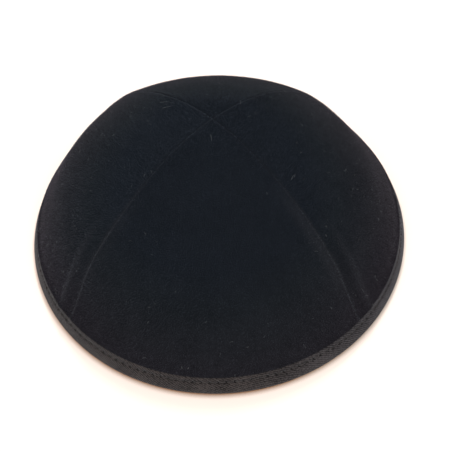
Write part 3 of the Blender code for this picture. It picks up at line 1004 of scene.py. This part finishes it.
def outsideOf(panel, name):
    # a copy of the velvet's outside, to carry fibres
    lowest = hemTop.y - 0.0003
    outside = bmesh.new()
    outside.from_mesh(panel.data)
    hidden = [
        face for face in outside.faces
        if face.material_index == 1 or face.normal.z < 0.0 or face.calc_center_median().z < lowest
    ]
    bmesh.ops.delete(outside, geom=hidden, context="FACES")
    mesh = bpy.data.meshes.new(name)
    outside.to_mesh(mesh)
    outside.free()
    return addObject(name, mesh)


def makePile(panel, tree, material, seed):
    piece = runTree(tree, outsideOf(panel, panel.name + "Outside"), {
        "Density": velvet["pileDensity"],
        "Pile Length": velvet["pileLength"],
        "Thickness": velvet["pileThickness"],
        "Lean": velvet["pileLean"],
        "Seed": seed,
        "Material": material,
    }, panel.name + "Pile")
    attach(piece, "root")
    return len(piece.data.polygons)


def makeLint(panel, tree, material, seed):
    piece = runTree(tree, outsideOf(panel, panel.name + "Top"), {
        "Density": lint["density"] * gores[panel.name]["lint"],
        "Fibre Length": lint["length"],
        "Thickness": lint["thickness"],
        "Lift": lint["lift"],
        "Seed": seed,
        "Material": material,
    }, panel.name + "Lint")
    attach(piece, "root")


def makeHairs(material):
    step = 0.0005  # down and across, to find which way the cloth faces
    points, facings, directions, lengths = [], [], [], []
    for hair in lint["hairs"]:
        gore = gores[hair["gore"]]
        down = hair["down"] + np.array([0, step, 0])
        across = hair["across"] + np.array([0, 0, step])
        spot, below, beside = gorePoint(gore, onMeridian(down), across, -lint["lift"])
        below, beside = Vector(below - spot).normalized(), Vector(beside - spot).normalized()
        turn = math.radians(hair["turn"])
        points.append(spot)
        facings.append(below.cross(beside).normalized())
        directions.append(below * math.cos(turn) + beside * math.sin(turn))
        lengths.append(hair["length"])
    mesh = bpy.data.meshes.new("hairCarrier")
    mesh.from_pydata(points, [], [])
    for label, values in (("facing", facings), ("along", directions)):
        attribute = mesh.attributes.new(label, "FLOAT_VECTOR", "POINT")
        attribute.data.foreach_set("vector", np.array(values).ravel())
    setPointValues(mesh, "hairLength", lengths)
    piece = runTree(hairTree(), addObject("hairCarrier", mesh), {
        "Thickness": lint["hairThickness"],
        "Material": material,
    }, "laidHairs")
    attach(piece, "root")


# Camera, floor and light
view = {
    "place": Vector((0.00869, -0.12579, 0.16593)),
    "aim": Vector((0.00351, -0.00812, 0.0)),
    "roll": math.radians(-2.59),
    "lens": 37.15,
}

studio = {
    "floorTone": (0.98, 0.84, 0.755),
    "floorReach": 30.0,
    "paintedContactShadow": (0.34, 0.16, 0.07),  # painted shadow where the cap shades the floor
    "paintedRightContactShadow": (0.44, 0.38, 0.31),
    "rightRange": (0.02, 0.07),         # from one painted shadow tone to the other
    "contactReach": 0.0025,
    "contactRange": (0.4, 0.9),         # how open the floor is, from that tone to its own
    "toneRange": (0.3, 0.7),            # the same on the ramp of tones
    "lamps": {
        "keyLight": {"place": (0.05, 1.00, 1.115), "size": 0.16, "power": 7.3},
    },
    "skyStrength": 0.78,
    "frontStrength": 1.53,   # added where the sky lies in front of the cap
    "frontRange": (0.3, -1.0),  # from none of that to all of it, by the Y of the direction
    "lowStrength": 1.02,     # least strength of the sky low down, so that it is as white as the floor
    "lowRange": (0.18, 0.13),   # the same for this, by the Z of the direction
}


def makeCamera():
    camera = addObject("camera", bpy.data.cameras.new("camera"))
    camera.data.lens = view["lens"]
    camera.data.sensor_width = 36.0
    camera.data.clip_start = 0.01
    camera.location = view["place"]
    camera.rotation_mode = "QUATERNION"
    towards = (view["aim"] - view["place"]).to_track_quat("-Z", "Y")
    camera.rotation_quaternion = towards @ Quaternion((0, 0, 1), view["roll"])
    bpy.context.scene.camera = camera


def makeFloor():
    mesh = bpy.data.meshes.new("floor")
    plane = bmesh.new()
    bmesh.ops.create_grid(plane, x_segments=1, y_segments=1, size=studio["floorReach"])
    plane.to_mesh(mesh)
    plane.free()
    material, tree, shader = newMaterial("paleFloor", {"Roughness": 0.9, "Specular IOR Level": 0.2})
    # painted contact shadow: the floor's colour darkens and warms where the Ambient Occlusion node finds
    # the cap near
    shaded = addNode(tree, "ShaderNodeAmbientOcclusion", inputs={"Distance": studio["contactReach"]})
    share = mapRange(tree, shaded.outputs["AO"], *studio["contactRange"], *studio["toneRange"])
    place = addNode(tree, "ShaderNodeTexCoord")
    spot = addNode(tree, "ShaderNodeSeparateXYZ", inputs={"Vector": place.outputs["Object"]})
    onRight = mapRange(tree, spot.outputs["X"], *studio["rightRange"])
    tones = [
        mixTones(tree, share, studio[contact], studio["floorTone"])
        for contact in ("paintedContactShadow", "paintedRightContactShadow")
    ]
    tree.links.new(mixSockets(tree, "RGBA", onRight, *tones), shader.inputs["Base Color"])
    mesh.materials.append(material)
    floor = addObject("floor", mesh)


def makeLight():
    for name, choice in studio["lamps"].items():
        lamp = bpy.data.lights.new(name, "AREA")
        lamp.shape = "DISK"
        lamp.size = choice["size"]
        lamp.energy = choice["power"]
        light = addObject(name, lamp)
        light.location = choice["place"]
        light.rotation_mode = "QUATERNION"
        light.rotation_quaternion = (-Vector(choice["place"])).to_track_quat("-Z", "Y")
    world = bpy.data.worlds.new("studio")
    world.use_nodes = True
    tree = world.node_tree
    sky = tree.nodes["Background"]
    sky.inputs["Color"].default_value = (1.0, 1.0, 1.0, 1.0)
    direction = addNode(tree, "ShaderNodeTexCoord").outputs["Generated"]
    parts = addNode(tree, "ShaderNodeSeparateXYZ", inputs={"Vector": direction})
    frontSky = studio["skyStrength"] + studio["frontStrength"]
    inFront = mapRange(tree, parts.outputs["Y"], *studio["frontRange"], studio["skyStrength"], frontSky)
    lowDown = mapRange(tree, parts.outputs["Z"], *studio["lowRange"], 0.0, studio["lowStrength"])
    strength = calculate(tree, "MAXIMUM", inFront, lowDown)
    tree.links.new(strength, sky.inputs["Strength"])
    bpy.context.scene.world = world
    bpy.context.scene.view_settings.view_transform = "Standard"
    bpy.context.scene.view_settings.look = "None"


makeCamera()
makeFloor()
makeLight()
print("camera, floor and light placed")

stitchSpot = foldCentre + hemOut * foldRadius + hemUp * (tapeLeg - tape["stitchBelowEdge"])
stitchCount = round(2 * math.pi * stitchSpot.x / tape["stitchPitch"])

cloths = [velvetMaterial("velvetGround", 1.0, velvet["sheen"]), backingMaterial()]
panels = [makeGore(name, gore, cloths) for name, gore in gores.items()]
print("gores sewn:", ", ".join(panel.name for panel in panels))

standingPile = pileTree()
pileDye = velvetMaterial("velvetPile", velvet["pileLightness"], 0.0)
tufts = [makePile(panel, standingPile, pileDye, seed) for seed, panel in enumerate(panels)]
print("pile raised:", tufts)

makeTape(tapeMaterial())
thread = threadMaterial()
stitchRow = stitchTree()
sunkSpot = stitchSpot - hemOut * tape["grooveDepth"]
makeStitches("outerStitches", thread, sunkSpot.x, sunkSpot.y, (hemOut.x, 0.0, hemOut.y), 3)
innerSpot = stitchSpot - hemOut * 2 * foldRadius
makeStitches("innerStitches", thread, innerSpot.x, innerSpot.y, (-hemOut.x, 0.0, -hemOut.y), 4)
print("tape folded and sewn with", stitchCount, "stitches a side")

fluff = lintMaterial()
scatteredLint = lintTree()
for seed, panel in enumerate(panels, 11):
    makeLint(panel, scatteredLint, fluff, seed)
makeHairs(fluff)
print("lint scattered")
